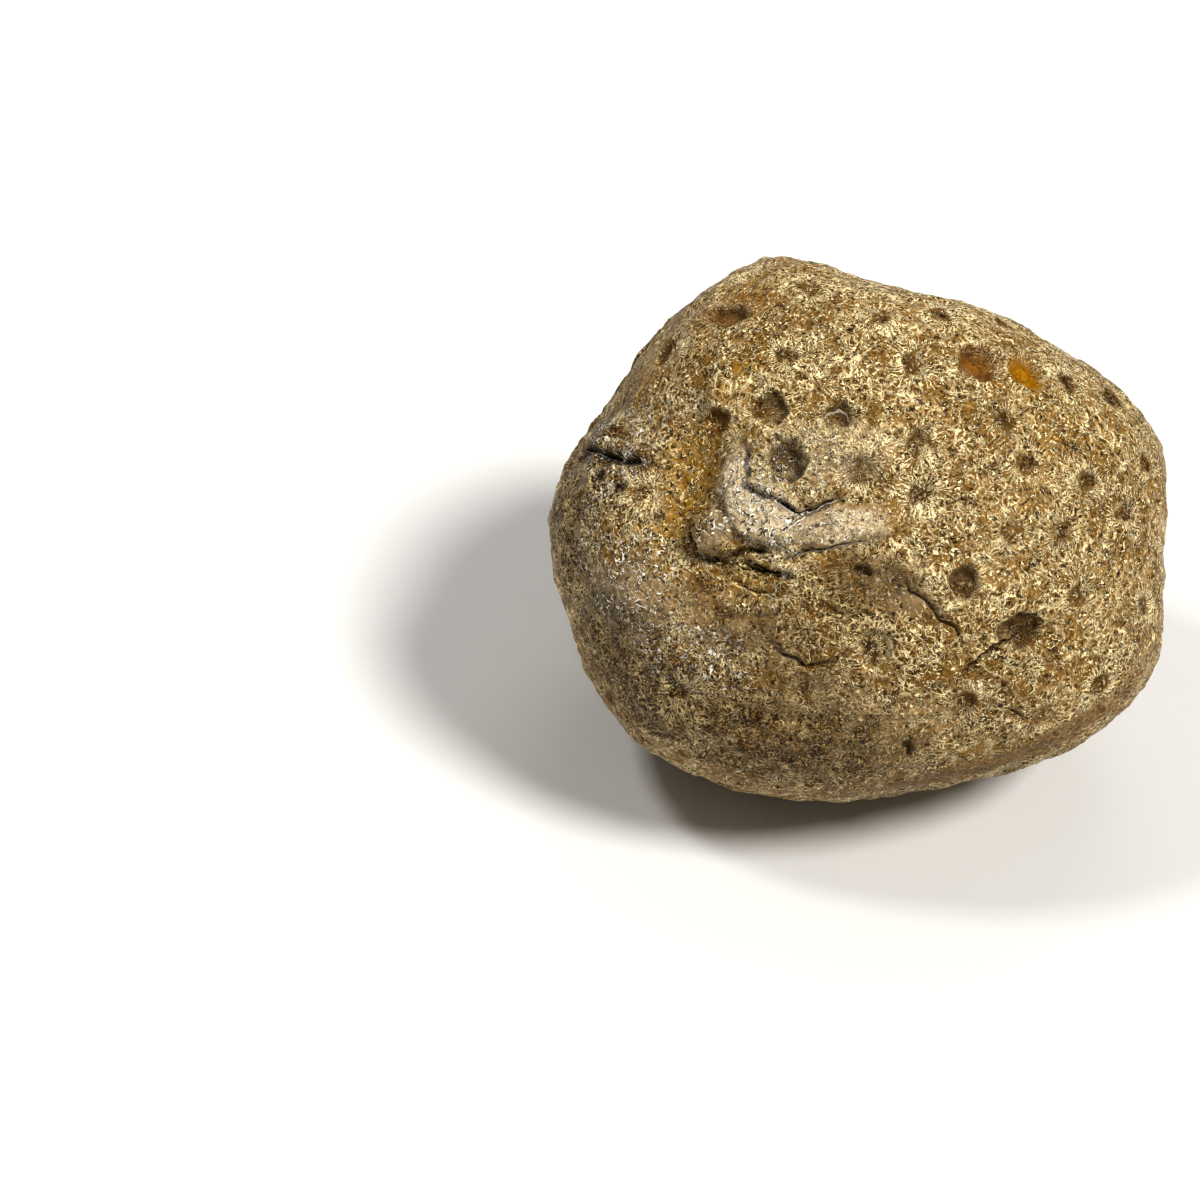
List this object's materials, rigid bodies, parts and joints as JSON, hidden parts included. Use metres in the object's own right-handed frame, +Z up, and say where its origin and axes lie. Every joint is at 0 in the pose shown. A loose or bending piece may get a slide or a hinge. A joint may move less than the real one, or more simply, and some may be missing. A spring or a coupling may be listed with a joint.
{
  "type": "fossil coral head",
  "caption": "Wave-rounded limestone cobble of fossil colonial coral, lying on a worn flat with its broad face of pitted, star-ribbed coral cups turned up and forward.",
  "frame": {"origin": "middle of the base of the stone's box, on the surface it rests on", "axes": "+Z up, the broad cupped face looks along -Y and up, +X to the right of that face along the stone's longest extent"},
  "size_m": [0.1228, 0.1078, 0.1051],
  "materials": {
    "fossil_limestone": "wave-worn and wet, golden brown with pale coral walls, part gloss"
  },
  "bodies": {
    "root": {"coral_head": "fossil_limestone"}
  },
  "joints": []
}
